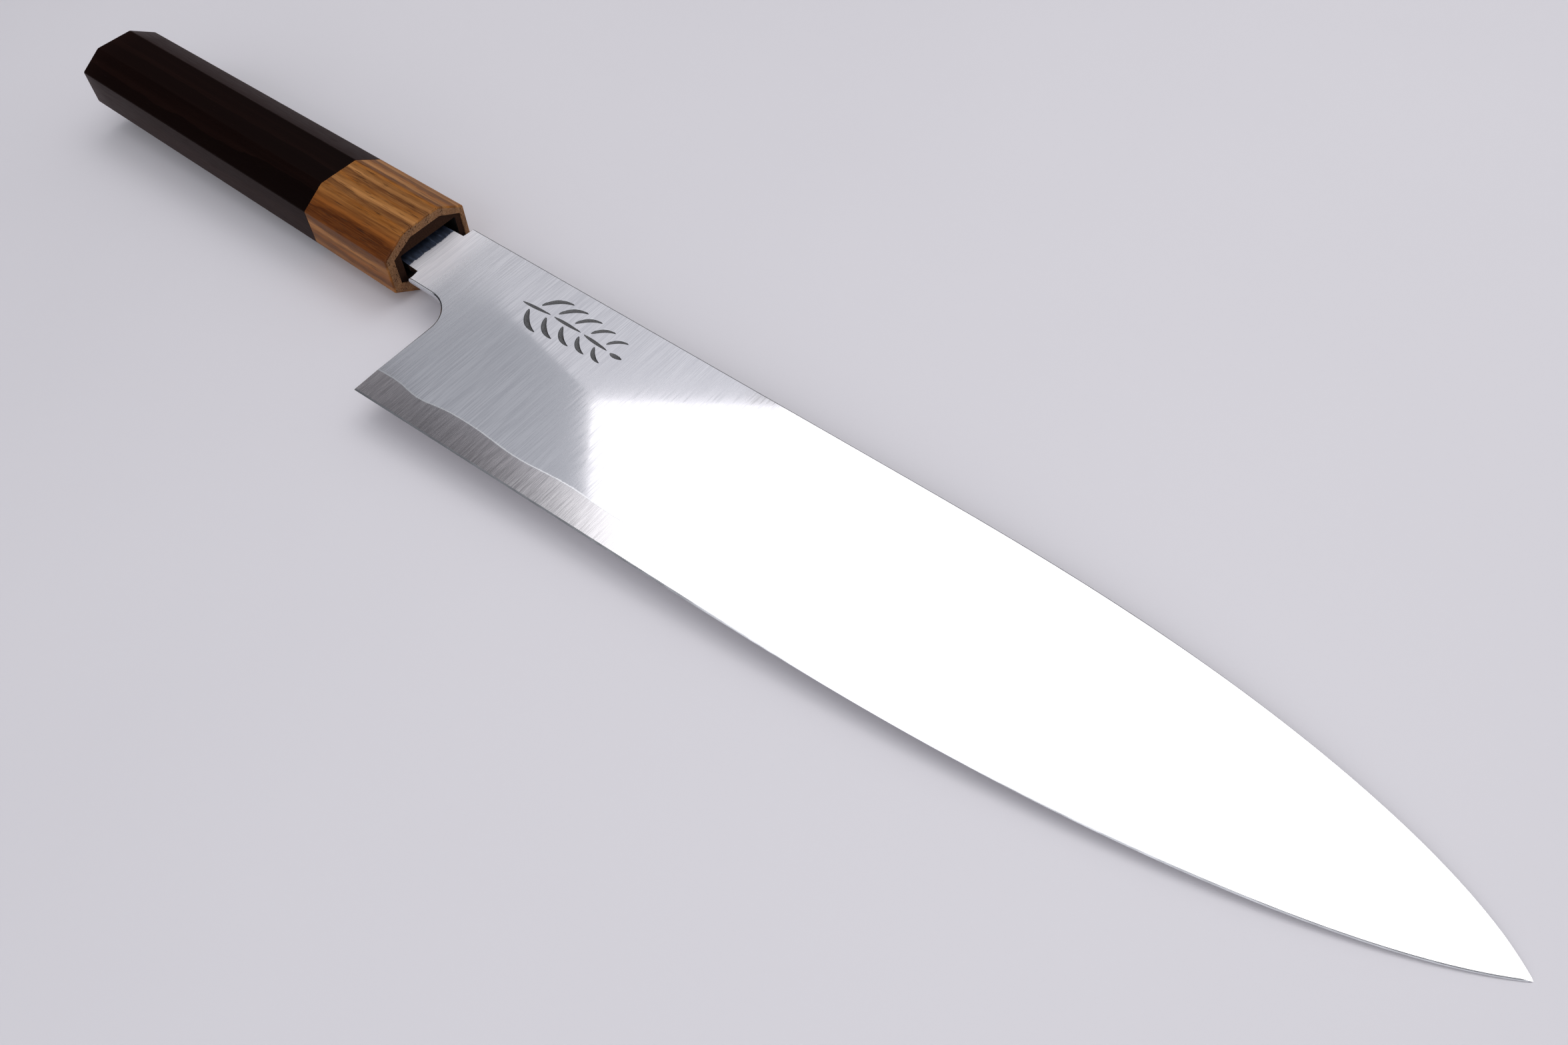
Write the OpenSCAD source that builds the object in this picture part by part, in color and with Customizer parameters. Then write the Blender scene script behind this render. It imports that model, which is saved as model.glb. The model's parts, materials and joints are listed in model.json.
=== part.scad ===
// Japanese chef's knife (gyuto) with a laminated blade and an octagonal wooden handle,
// lying at rest on its left side. Millimetres.
//
// The knife is drawn in its own frame and then laid down by at_rest():
//   X runs from the handle to the tip, with 0 at the ferrule's front face,
//   Y runs from the cutting edge to the spine, with 0 on the handle's axis,
//   Z is the thickness, with 0 in the blade's middle plane and the right face on top.

/* [Handle] */
// Length of the whole handle, ferrule included
handle_length = 121; // [110:1:145]
// Length of the ferrule
ferrule_length = 29; // [24:1:34]
// Width of the octagon at the ferrule's front face, along Y
handle_width = 24.8; // [23:0.1:27]
// Thickness of the octagon at the ferrule's front face, along Z
handle_thick = 18.2; // [17:0.1:20]
// Size of the butt as a share of the front
handle_taper = 0.92; // [0.88:0.01:1]
// Width of the tenon inside the ferrule
tenon_width = 20.9; // [20.6:0.1:21.2]
// Thickness of the tenon inside the ferrule
tenon_thick = 13.1; // [12:0.1:14]
// Chamfer round the handle's two ends
end_chamfer = 0.5; // [0.3:0.1:1.2]

/* [Blade] */
// From the ferrule's front face to the tip
blade_reach = 265.5; // [240:0.5:290]
// Depth of the edge below the handle's axis, at the heel
heel_depth = 40.7; // [37:0.1:45]
// From the ferrule's front face to the heel's corner
heel_reach = 20.1; // [18:0.1:24]
// Height of the spine above the handle's axis, at the neck
spine_height = 10.6; // [9.5:0.1:12]
// Depth of the tip below the handle's axis
tip_depth = 10.3; // [5:0.1:18]
// Thickness of the spine at the neck
spine_thick = 2.4; // [2.2:0.1:3.2]
// Thickness of the hard steel sheet in the middle
core_thick = 0.7; // [0.5:0.05:0.9]
// Height of the bare hard steel above the edge
core_band = 7; // [5:0.5:9]
// Radius of the inner corner between the neck and the heel
choil_radius = 7.7; // [4:0.1:9]

/* [Tang] */
// Length of the tang inside the handle
tang_length = 92; // [70:1:100]
// Width of the tang at the neck
tang_width = 14.8; // [12:0.1:16]
// Width of the tang at its end
tang_end_width = 8; // [6:0.5:10]
// From the ferrule's front face to the neck's shoulders
shoulder_gap = 4.2; // [1:0.1:5]
// Depth from the slot's mouth to the adhesive bedding
bedding_recess = 9; // [6:1:14]

/* [Hidden] */

// Octagon: the flat parts of the top and of the sides, as shares of the width and the thickness
top_flat = 0.44;
side_flat = 0.54;

// Neck
neck_depth = 10.4;
neck_start = shoulder_gap;
shoulder_slope = 0.3;

// Edge and spine: each is a nearly straight run and then a long curve towards the tip, and a share
// of that curve comes only in its last stretch
edge_rise = 0.031;
belly_start = 93.5;
edge_tip_share = 0.12;
spine_rise = 0.011;
drop_start = 124;
spine_tip_share = 0.15;
long_power = 3;
tip_power = 14;

// Choil: the heel's back face leans forward a little towards the edge
heel_lean = 0.4;
choil_x = heel_reach - heel_lean;

// Blade faces: how the cladding swells and tapers, and the least widths of the sheet's strips
edge_thick = 0.08;
clad_step = 0.02;
face_swell = 0.3;
taper_power = 1.5;
clad_stop = 1.2;
clad_tries = 30;
tip_blunt = 0.15;
core_strip = 0.1;
band_share = 0.7;

// The tenon and its tang slot stand a little towards the spine, off the handle's axis
tenon_shift = 0.6;
tenon_inset = 0.3;
slot_width = 17;
slot_high = 6.4;
slot_shift = 0.8;
slot_spare = 3;
slot_depth = tang_length + slot_spare;

// How far a cut reaches beyond what it cuts
overshoot = 1;

// Number of stations along each stretch of the blade, and of points across its faces
belly_steps = 44;
tip_steps = 8;
choil_steps = 10;
face_steps = 8;

function lerp(a, b, t) = a + (b - a) * t;
function clamp01(t) = min(max(t, 0), 1);

// Height of the cutting edge and of the spine, at x
function bend(x, start, tip_share) =
    let (u = clamp01((x - start) / (blade_reach - start)))
    (1 - tip_share) * pow(u, long_power) + tip_share * pow(u, tip_power);
function edge_line(x) = -heel_depth + edge_rise * (x - heel_reach);
function edge_y(x) =
    edge_line(x) - (tip_depth + edge_line(blade_reach)) * bend(x, belly_start, edge_tip_share);
function spine_line(x) = spine_height + spine_rise * x;
function spine_y(x) =
    spine_line(x) - (tip_depth + spine_line(blade_reach)) * bend(x, drop_start, spine_tip_share);

// Lower outline of the blade: the neck, the choil's arc, the heel's back face, then the edge
function choil_y(x) =
    -neck_depth - choil_radius
    + sqrt(max(0, pow(choil_radius, 2) - pow(x - choil_x + choil_radius, 2)));
function heel_y(x) = lerp(-neck_depth - choil_radius, edge_y(heel_reach), (x - choil_x) / heel_lean);
function lower_y(x) =
    x < choil_x - choil_radius ? -neck_depth :
    x < choil_x ? choil_y(x) :
    x < heel_reach ? heel_y(x) :
    edge_y(x);

// The cladding stops where the blade is hardly wider than the bare band: the place is found by halving
function clad_room(x) = spine_y(x) - edge_y(x) - core_band;
function clad_end(low, high, tries) =
    let (middle = (low + high) / 2)
    tries == 0 ? low :
    clad_room(middle) > clad_stop ? clad_end(middle, high, tries - 1) :
    clad_end(low, middle, tries - 1);
clad_reach = clad_end(belly_start, blade_reach, clad_tries);

// Thickness of the spine at x, and of the blade at (x, y)
function spine_t(x) =
    let (u = clamp01((x - neck_start) / (clad_reach - neck_start)))
    spine_thick - (spine_thick - core_thick) * pow(u, taper_power);
function face_share(u) = u * (1 + face_swell) - face_swell * u * u;
function blade_t(x, y) =
    let (h = y - edge_y(x), above = (h - core_band) / max(clad_room(x), clad_stop))
    h <= core_band ? lerp(edge_thick, core_thick, h / core_band)
                   : lerp(core_thick + clad_step, max(spine_t(x), core_thick + 2 * clad_step),
                          face_share(clamp01(above)));

// Outline of the tang and the blade together: the shoulders stand between the last two tang stations
function is_tang(x) = x < neck_start;
function tang_half(x) = lerp(tang_end_width, tang_width, (x + tang_length) / (neck_start + tang_length)) / 2;
function body_low(x) = is_tang(x) ? -tang_half(x) : lower_y(x);
function body_high(x) = is_tang(x) ? tang_half(x) : spine_y(x);
function body_t(x, y) = is_tang(x) ? spine_thick : blade_t(x, y);

// Stations along the knife
function steps(n) = [for (i = [0:n]) i / n];
tang_stations = [-tang_length, -tang_length / 2, neck_start - shoulder_slope];
neck_stations = [neck_start, (neck_start + choil_x - choil_radius) / 2];
choil_stations = [for (t = steps(choil_steps)) choil_x - choil_radius + choil_radius * sin(90 * t)];
heel_height = heel_depth - neck_depth - choil_radius;
heel_stations = [choil_x + heel_lean * (heel_height - core_band) / heel_height];
belly_stations = [for (t = steps(belly_steps)) lerp(heel_reach, clad_reach, t)];
tip_stations = [for (k = [1:tip_steps]) lerp(clad_reach, blade_reach - tip_blunt, k / tip_steps)];
clad_stations = concat(tang_stations, neck_stations, choil_stations, heel_stations, belly_stations);
core_stations = concat(clad_stations, tip_stations);

// Skin of triangles over a list of sections, each with the same even number of points, whose first
// half runs along one side of the section and whose second half runs back along the other
module loft(sections) {
    n = len(sections[0]);
    last = len(sections) - 1;
    sides = [
        for (i = [0:last - 1], k = [0:n - 1])
            let (a = i * n + k, b = i * n + (k + 1) % n)
            for (face = [[a, b, b + n], [a, b + n, a + n]]) face
    ];
    rungs = [
        for (k = [0:n / 2 - 2])
            for (face = [[k, n - 1 - k, n - 2 - k], [k, n - 2 - k, k + 1]]) face
    ];
    far_end = [for (face = rungs) [for (k = [2:-1:0]) face[k] + last * n]];
    polyhedron(points = [for (s = sections, p = s) p], faces = concat(sides, rungs, far_end));
}

// Section of the hard steel sheet: flat faces, and a wedge below the top of the bare band
function core_mid(x) =
    let (lo = body_low(x), hi = body_high(x))
    min(max(edge_y(x) + core_band, lo + core_strip), lerp(lo, hi, band_share));
function core_half(x, y) = min(core_thick, body_t(x, y)) / 2;
function core_section(x) =
    let (ys = [body_low(x), core_mid(x), body_high(x)])
    concat(
        [for (y = ys) [x, y, core_half(x, y)]],
        [for (k = [2:-1:0]) [x, ys[k], -core_half(x, ys[k])]]
    );

// Section of the right cladding: its inner face is flat, and its outer face swells to the spine
function clad_low(x) = is_tang(x) ? body_low(x) : max(body_low(x), edge_y(x) + core_band);
function clad_half(x, y) = max(body_t(x, y), core_thick + clad_step) / 2;
function clad_section(x) =
    let (ys = [for (t = steps(face_steps)) lerp(clad_low(x), body_high(x), t)])
    concat(
        [for (y = ys) [x, y, clad_half(x, y)]],
        [for (k = [face_steps:-1:0]) [x, ys[k], core_thick / 2]]
    );

// Octagon of the handle in the YZ plane, at x and shrunk by k
function octagon(x, k) =
    let (w = handle_width * k / 2, t = handle_thick * k / 2, b = w * top_flat, d = t * side_flat)
    [[x, -w, d], [x, -b, t], [x, b, t], [x, w, d], [x, w, -d], [x, b, -t], [x, -b, -t], [x, -w, -d]];
function handle_k(x) = lerp(1, handle_taper, -x / handle_length);
chamfer_k = 1 - 2 * end_chamfer / handle_width;

// The tenon fills the ferrule's bore: a straight octagon
function tenon_points() =
    let (w = tenon_width / 2, t = tenon_thick / 2, b = w * top_flat, d = t * side_flat)
    [[t, -b], [t, b], [d, w], [-d, w], [-t, b], [-t, -b], [-d, -w], [d, -w]];

module tenon_prism(x0, x1) {
    translate([x0, tenon_shift, 0])
        rotate([0, 90, 0])
        linear_extrude(x1 - x0)
        polygon(tenon_points());
}

module tang_slot(x0, x1) {
    translate([x0, slot_shift - slot_width / 2, -slot_high / 2])
        cube([x1 - x0, slot_width, slot_high]);
}

module tang_solid() {
    tail = tang_half(-tang_length);
    front = tang_half(0);
    translate([0, 0, -spine_thick / 2])
        linear_extrude(spine_thick)
        polygon([[-tang_length, -tail], [0, -front], [0, front], [-tang_length, tail]]);
}

// At rest on its left side the knife touches the surface at two places, the ferrule's lower front
// corner and the blade just behind the tip, so the blade slopes down to the tip. The row's origin is
// on the surface, under the middle of the whole knife.
touch_ahead = 2;
touch_ease = 0.03;
touch_reach = clad_reach + touch_ahead;
touch_z = core_thick / 2 - touch_ease;
rest_pitch = atan((handle_thick / 2 - touch_z) / (touch_reach + end_chamfer));
rest_shift = [
    -(blade_reach - handle_length) / 2 * cos(rest_pitch),
    (heel_depth - handle_width / 2) / 2,
    handle_thick / 2 * cos(rest_pitch) - end_chamfer * sin(rest_pitch)
];

module at_rest() {
    translate(rest_shift)
        rotate([0, rest_pitch, 0])
        children();
}

module blade_core() {
    color("#6f6b6a")
        at_rest()
        loft([for (x = core_stations) core_section(x)]);
}

module cladding() {
    loft([for (x = clad_stations) clad_section(x)]);
}

module cladding_right() {
    color("#b9bcc2")
        at_rest()
        cladding();
}

module cladding_left() {
    color("#a9acb2")
        at_rest()
        mirror([0, 0, 1])
        cladding();
}

module ferrule() {
    color("#a8743c")
        at_rest()
        difference() {
            loft([
                octagon(-ferrule_length, handle_k(-ferrule_length)),
                octagon(-end_chamfer, handle_k(-end_chamfer)),
                octagon(0, chamfer_k)
            ]);
            tenon_prism(-ferrule_length - overshoot, overshoot);
        }
}

module handle_body() {
    color("#2b1d18")
        at_rest()
        difference() {
            union() {
                loft([
                    octagon(-handle_length, handle_taper * chamfer_k),
                    octagon(end_chamfer - handle_length, handle_k(end_chamfer - handle_length)),
                    octagon(-ferrule_length, handle_k(-ferrule_length))
                ]);
                tenon_prism(-ferrule_length - overshoot, -tenon_inset);
            }
            tang_slot(-slot_depth, overshoot);
        }
}

module tang_bedding() {
    color("#8a7f6a")
        at_rest()
        difference() {
            tang_slot(-slot_depth, -bedding_recess);
            tang_solid();
        }
}

blade_core();
cladding_right();
cladding_left();
ferrule();
handle_body();
tang_bedding();
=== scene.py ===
import json
import math

import bmesh
import bpy
import numpy as np
from mathutils import Matrix, Vector


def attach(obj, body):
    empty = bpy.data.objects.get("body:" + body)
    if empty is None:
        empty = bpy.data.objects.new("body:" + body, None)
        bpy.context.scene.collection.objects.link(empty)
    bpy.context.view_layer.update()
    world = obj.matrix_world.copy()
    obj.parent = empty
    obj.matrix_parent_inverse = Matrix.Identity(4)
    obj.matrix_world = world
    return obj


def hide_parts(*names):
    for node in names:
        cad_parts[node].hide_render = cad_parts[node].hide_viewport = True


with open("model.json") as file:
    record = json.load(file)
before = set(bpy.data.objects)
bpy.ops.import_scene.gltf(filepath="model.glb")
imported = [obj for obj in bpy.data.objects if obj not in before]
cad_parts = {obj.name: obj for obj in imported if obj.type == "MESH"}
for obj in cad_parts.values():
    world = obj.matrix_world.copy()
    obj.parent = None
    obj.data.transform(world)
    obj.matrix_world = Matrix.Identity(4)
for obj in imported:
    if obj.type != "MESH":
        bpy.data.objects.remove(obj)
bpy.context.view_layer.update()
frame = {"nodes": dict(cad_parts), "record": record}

# A Japanese chef's knife, lying on its left side on a pale worktop.
#
# Every piece is drawn in the knife's own frame, in millimetres, and then laid down on the worktop:
#   X runs from the handle to the tip, with 0 at the ferrule's front face,
#   Y runs from the cutting edge to the spine, with 0 on the handle's axis,
#   Z is the thickness, with 0 in the blade's middle plane and the right face on top.

MM = 0.001

# Handle: an octagon that tapers to the butt, on a tenon that fills the ferrule's bore
HANDLE_LENGTH = 121.0
FERRULE_LENGTH = 29.0
HANDLE_WIDTH = 24.8
HANDLE_THICK = 18.2
HANDLE_TAPER = 0.92
TENON_WIDTH = 20.9
TENON_THICK = 13.1
TENON_SHIFT = 0.6
TENON_INSET = 0.3
SLOT_WIDTH = 17.0
SLOT_HIGH = 6.4
SLOT_SHIFT = 0.8
SLOT_DEPTH = 95.0
TOP_FLAT = 0.44
SIDE_FLAT = 0.54
END_CHAMFER = 0.5
EDGE_EASE = 0.3

# Tang and neck
TANG_LENGTH = 92.0
TANG_WIDTH = 14.8
TANG_END_WIDTH = 8.0
NECK_START = 4.2
NECK_DEPTH = 10.4
CHOIL_RADIUS = 7.7

# Blade outline
BLADE_REACH = 265.5
TIP_STOP = 265.35
TIP_DEPTH = 10.3
HEEL_DEPTH = 40.7
HEEL_REACH = 20.1
HEEL_LEAN = 0.4
CHOIL_X = HEEL_REACH - HEEL_LEAN
CHOIL_Y = -NECK_DEPTH - CHOIL_RADIUS
NECK_END = CHOIL_X - CHOIL_RADIUS
EDGE_RISE = 0.031
BELLY_START = 93.5
EDGE_TIP_SHARE = 0.12
SPINE_HEIGHT = 10.6
SPINE_RISE = 0.011
DROP_START = 124.0
SPINE_TIP_SHARE = 0.15
LONG_POWER = 3
TIP_POWER = 14

# Blade thickness: half thicknesses of the ground faces, and the laminated layers. The claddings' ground
# faces would meet the core at GROUND_START above the edge.
SPINE_HALF = 1.2
CORE_HALF = 0.35
EDGE_HALF = 0.09
BEVEL_HEIGHT = 0.4
BEVEL_SHARE = 0.2
BAND = 7.1
BAND_SHARE = 0.85
BAND_RAMP = 7.8
GROUND_START = 7.0
CLAD_STOP = 1.2
FACE_SWELL = 0.3
TAPER_POWER = 1.5
TANG_BLEND = 14.0
REBATE_DEEP = 0.1
REBATE_SHALLOW = 0.02
REBATE_RUN = 2.0
CLAD_PROUD = 0.003
LAYER_GAP = 0.004

# The cladding line's ripples, each with its height, its length over two pi and its start. They calm down
# towards the tip, and the line dips once near the heel.
RIPPLES = ((0.27, 6.1, 1.2), (0.18, 3.7, 0.4), (0.21, 15.0, 0.0))
CALM_START = 90.0
CALM_RUN = 80.0
CALM_SHARE = 0.6
DIP_X = 33.0
DIP_WIDTH = 5.5
DIP_DEPTH = 1.2

# How far in the narrow faces' rounded corners reach, and how far down they reach at the spine
CHOIL_EASE = 0.5
SPINE_EASE = 0.34
SPINE_ROUND = 0.42
TANG_EASE = 0.05

# Rows of faces, and the columns across each stretch of the blade
FACE_ROWS = 16
WALL_ROWS = 5
CORNER_ROWS = 4
TANG_COLUMNS = 24
SHOULDER_COLUMNS = 3
NECK_COLUMNS = 6
CHOIL_COLUMNS = 16
HEEL_COLUMNS = 12
CLAD_COLUMNS = 149
TIP_COLUMNS = 15

# How far the columns bow forward, how they fan out over the choil and the heel, and how far ahead they
# are upright again
TANG_BOW = 0.6
BOW_RUN = 10.0
NECK_BOW = 2.2
FAN_SPREAD = 1.15
FAN_REACH = 95.0
HEEL_BLEND = 12.0


def lerp(a, b, t):
    return a + (b - a) * t


def clamp01(t):
    return min(max(t, 0.0), 1.0)


def smooth(t):
    t = clamp01(t)
    return t * t * (3 - 2 * t)


def curve(a, b, c, t):
    """Point of the curve that leaves a towards b, and reaches c from b."""
    return a * (1 - t) ** 2 + b * 2 * t * (1 - t) + c * t * t


# ---------------- blade shape


def bend(x, start, tip_share):
    """From 0 at start to 1 at the tip: a long curve, and a share of it in the last stretch."""
    u = clamp01((x - start) / (BLADE_REACH - start))
    return (1 - tip_share) * u**LONG_POWER + tip_share * u**TIP_POWER


def edge_line(x):
    return -HEEL_DEPTH + EDGE_RISE * (x - HEEL_REACH)


def edge_y(x):
    return edge_line(x) - (TIP_DEPTH + edge_line(BLADE_REACH)) * bend(x, BELLY_START, EDGE_TIP_SHARE)


def spine_line(x):
    return SPINE_HEIGHT + SPINE_RISE * x


def spine_y(x):
    return spine_line(x) - (TIP_DEPTH + spine_line(BLADE_REACH)) * bend(x, DROP_START, SPINE_TIP_SHARE)


def tang_half(x):
    return lerp(TANG_END_WIDTH, TANG_WIDTH, (x + TANG_LENGTH) / (NECK_START + TANG_LENGTH)) / 2


def heel_x(y):
    """The heel's back face leans forward a little towards the edge."""
    return CHOIL_X + HEEL_LEAN * clamp01((CHOIL_Y - y) / (CHOIL_Y - edge_y(HEEL_REACH)))


def clad_room(x):
    """Height of the ground face, from where it meets the core to the spine."""
    return spine_y(x) - edge_y(x) - GROUND_START


def find_clad_reach(halvings=30):
    """The claddings end where the blade is hardly wider than its bare band."""
    low, high = DROP_START, BLADE_REACH
    for _ in range(halvings):
        middle = (low + high) / 2
        if clad_room(middle) > CLAD_STOP:
            low = middle
        else:
            high = middle
    return low


CLAD_REACH = find_clad_reach()


def band_height(x):
    """Height of the cladding line above the edge: it wanders, as hammered layers do."""
    wave = sum(height * math.sin(x / length + start) for height, length, start in RIPPLES)
    dip = DIP_DEPTH * math.exp(-(((x - DIP_X) / DIP_WIDTH) ** 2))
    calm = 1 - CALM_SHARE * smooth((x - CALM_START) / CALM_RUN)
    return BAND + wave * calm - dip


def line_y(x):
    """The cladding line. Where the blade is narrow, it stays below the spine."""
    return edge_y(x) + min(band_height(x), BAND_SHARE * (spine_y(x) - edge_y(x)))


def spine_half(x):
    """Half thickness at the spine: it tapers from the neck to the tip."""
    u = clamp01((x - NECK_START) / (CLAD_REACH - NECK_START))
    return SPINE_HALF - (SPINE_HALF - CORE_HALF) * u**TAPER_POWER


def clad_z(x, y):
    """Half thickness of the ground face above the cladding line, with the tang left full."""
    u = min((y - edge_y(x) - GROUND_START) / max(clad_room(x), CLAD_STOP), 1.0)
    ground = lerp(CORE_HALF, spine_half(x), u * (1 + FACE_SWELL) - FACE_SWELL * u * u)
    return lerp(ground, SPINE_HALF, smooth((NECK_START - x) / TANG_BLEND))


def band_z(x, y):
    """Half thickness of the bare band between the edge and the cladding line."""
    return min(lerp(EDGE_HALF, CORE_HALF, (y - edge_y(x)) / BAND_RAMP), CORE_HALF)


def bevel_height(x):
    """Height of the fine bevel at the edge. It dwindles at the tip."""
    return min(BEVEL_HEIGHT, BEVEL_SHARE * (line_y(x) - edge_y(x)))


def inner_z(x, y):
    """Where the cladding meets the core: it is let in deeper along the cladding line."""
    above = smooth((y - line_y(x)) / REBATE_RUN)
    return min(clad_z(x, y), CORE_HALF) - lerp(REBATE_DEEP, REBATE_SHALLOW, above)


# ---------------- meshes


WELD = 1e-4


class Skin:
    """Patches of faces that are welded into one closed mesh."""

    def __init__(self):
        self.points = []
        self.faces = []
        self.slots = []

    def grid(self, rows, slot=0, close=False):
        """Quads between rows of points. With close, each row is a loop."""
        first = len(self.points)
        count = len(rows[0])
        for row in rows:
            self.points.extend(row)
        for i in range(len(rows) - 1):
            for k in range(count if close else count - 1):
                a = first + i * count + k
                b = first + i * count + (k + 1) % count
                self.faces.append((a, b, b + count, a + count))
                self.slots.append(slot)

    def cap(self, loop, slot):
        """One face round a loop of points."""
        first = len(self.points)
        self.points.extend(loop)
        self.faces.append(tuple(range(first, first + len(loop))))
        self.slots.append(slot)

    def mesh(self, name):
        made = bpy.data.meshes.new(name)
        made.from_pydata([tuple(p) for p in self.points], [], self.faces)
        made.polygons.foreach_set("material_index", self.slots)
        work = bmesh.new()
        work.from_mesh(made)
        bmesh.ops.remove_doubles(work, verts=work.verts, dist=WELD)
        bmesh.ops.dissolve_degenerate(work, edges=work.edges, dist=WELD)
        bmesh.ops.recalc_face_normals(work, faces=work.faces)
        work.to_mesh(made)
        work.free()
        return made


def station(low, high, bow=0.0, low_ease=CHOIL_EASE, high_ease=SPINE_EASE):
    """A column across the blade: a point on the lower outline, its partner on the upper outline, how far
    the column bows forward, and how far the narrow face is eased at each end."""
    return (*low, *high, bow, low_ease, high_ease)


def steps(start, stop, count):
    """Evenly spaced values up to stop, without start itself."""
    return np.linspace(start, stop, count + 1)[1:]


def tang_stations():
    made = []
    for x in np.linspace(-TANG_LENGTH, NECK_START, TANG_COLUMNS + 1):
        half = tang_half(x)
        bow = TANG_BOW * smooth(1 + (x - NECK_START) / BOW_RUN)
        made.append(station((x, -half), (x, half), bow, TANG_EASE, TANG_EASE))
    return made


def neck_stations():
    """The shoulders, where the neck is wider than the tang, and the neck itself."""
    made = []
    tang_edge = tang_half(NECK_START)
    for t in steps(0, 1, SHOULDER_COLUMNS):
        low = (NECK_START, lerp(-tang_edge, -NECK_DEPTH, t))
        high = (NECK_START, lerp(tang_edge, spine_y(NECK_START), t))
        low_ease, high_ease = lerp(TANG_EASE, CHOIL_EASE, t), lerp(TANG_EASE, SPINE_EASE, t)
        made.append(station(low, high, lerp(TANG_BOW, NECK_BOW, t), low_ease, high_ease))
    for t in steps(0, 1, NECK_COLUMNS):
        x = lerp(NECK_START, NECK_END, t)
        made.append(station((x, -NECK_DEPTH), (x, spine_y(x)), NECK_BOW * (1 - smooth(t))))
    return made


def heel_stations():
    """The choil's quarter circle, and the heel's back face down to the cladding line."""
    made = []
    for a in steps(0, math.pi / 2, CHOIL_COLUMNS):
        x = NECK_END + FAN_SPREAD * CHOIL_RADIUS * a
        low = (NECK_END + CHOIL_RADIUS * math.sin(a), CHOIL_Y + CHOIL_RADIUS * math.cos(a))
        made.append(station(low, (x, spine_y(x))))
    arc_end = x
    for t in steps(0, 1, HEEL_COLUMNS):
        y = lerp(CHOIL_Y, line_y(HEEL_REACH), t)
        x = arc_end + FAN_SPREAD * (CHOIL_Y - y)
        made.append(station((heel_x(y), y), (x, spine_y(x)), low_ease=CHOIL_EASE * (1 - t) ** 0.8))
    return made


def line_stations(corner, fan_end):
    """Along the cladding line, from x = corner at the heel to the claddings' end. The heel's last column
    reaches the spine at x = fan_end."""
    made = []
    for x in steps(corner, CLAD_REACH, CLAD_COLUMNS):
        top = x + (fan_end - corner) * (1 - clamp01((x - corner) / FAN_REACH)) ** 2
        high_ease = SPINE_EASE * min(spine_half(x) / CORE_HALF - 1, 1)
        made.append(station((x, line_y(x)), (top, spine_y(top)), low_ease=0.0, high_ease=high_ease))
    return made


def stations():
    """Every column, from the tang's end to the claddings' end."""
    made = tang_stations() + neck_stations() + heel_stations()
    corner, _, fan_end = made[-1][:3]
    return np.array(made + line_stations(corner, fan_end))


def inward(points, side):
    """Unit vectors in the XY plane that point into the blade from an outline."""
    run = np.gradient(points, axis=0)
    normal = np.stack([-run[:, 1], run[:, 0]], axis=1) * side
    return normal / np.linalg.norm(normal, axis=1)[:, None]


STATIONS = stations()
LOW, HIGH, BOW = STATIONS[:, 0:2], STATIONS[:, 2:4], STATIONS[:, 4]
LOW_EASE, HIGH_EASE = STATIONS[:, 5], STATIONS[:, 6]
LOW_IN, HIGH_IN = inward(LOW, 1), inward(HIGH, -1)
CORNER = int(np.flatnonzero(LOW_EASE == 0)[0])  # where the cladding line leaves the heel's back face


def end_of(i, upper):
    """One end of a column: its point on the outline, the way into the blade, how far the corner is
    eased, and the half thickness of the ground face and of the core there."""
    if upper:
        base, normal, ease = HIGH[i], HIGH_IN[i], HIGH_EASE[i]
    else:
        base, normal, ease = LOW[i], LOW_IN[i], LOW_EASE[i]
    outer = clad_z(*(base + normal * ease)) + CLAD_PROUD
    return base, normal, ease, outer, inner_z(*base)


def corner_depth(outer, upper):
    """How far down the rounding reaches: the whole way at the choil, and only the corners at the spine."""
    return min(SPINE_ROUND, outer) if upper else outer


def wall_point(i, upper, z):
    """Point of the narrow face at height z."""
    base, normal, ease, outer, _ = end_of(i, upper)
    depth = corner_depth(outer, upper)
    rise = clamp01((abs(z) - outer + depth) / depth)
    x, y = base + normal * ease * (1 - math.sqrt(1 - rise * rise))
    return (x, y, z)


def wall(i, upper):
    """Points down the narrow face, from the ground face to the core."""
    outer, inner = end_of(i, upper)[-2:]
    depth = corner_depth(outer, upper)
    stop = max(inner, outer - depth)
    last_angle = math.asin(1 - (outer - stop) / depth)
    angles = np.linspace(math.pi / 2, last_angle, WALL_ROWS + 1)
    heights = [outer - depth * (1 - math.sin(a)) for a in angles]
    return [wall_point(i, upper, z) for z in heights + [inner]]


def column(i, low, high, height):
    """Points of one column, from its end on the lower outline to its end on the upper outline."""
    points = []
    for v in np.linspace(0, 1, FACE_ROWS + 1):
        x, y, _ = lerp(np.array(low), np.array(high), v)
        x += BOW[i] * 4 * v * (1 - v)
        points.append((x, y, height(x, y)))
    points[0], points[-1] = low, high
    return points


def outer_height(x, y):
    return clad_z(x, y) + CLAD_PROUD


def core_height(x, y):
    return inner_z(x, y) - LAYER_GAP


# Material slots of the blade's pieces
FACE, SIDE, HIDDEN, SPINE, GROOVE = 0, 1, 2, 3, 4


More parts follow.
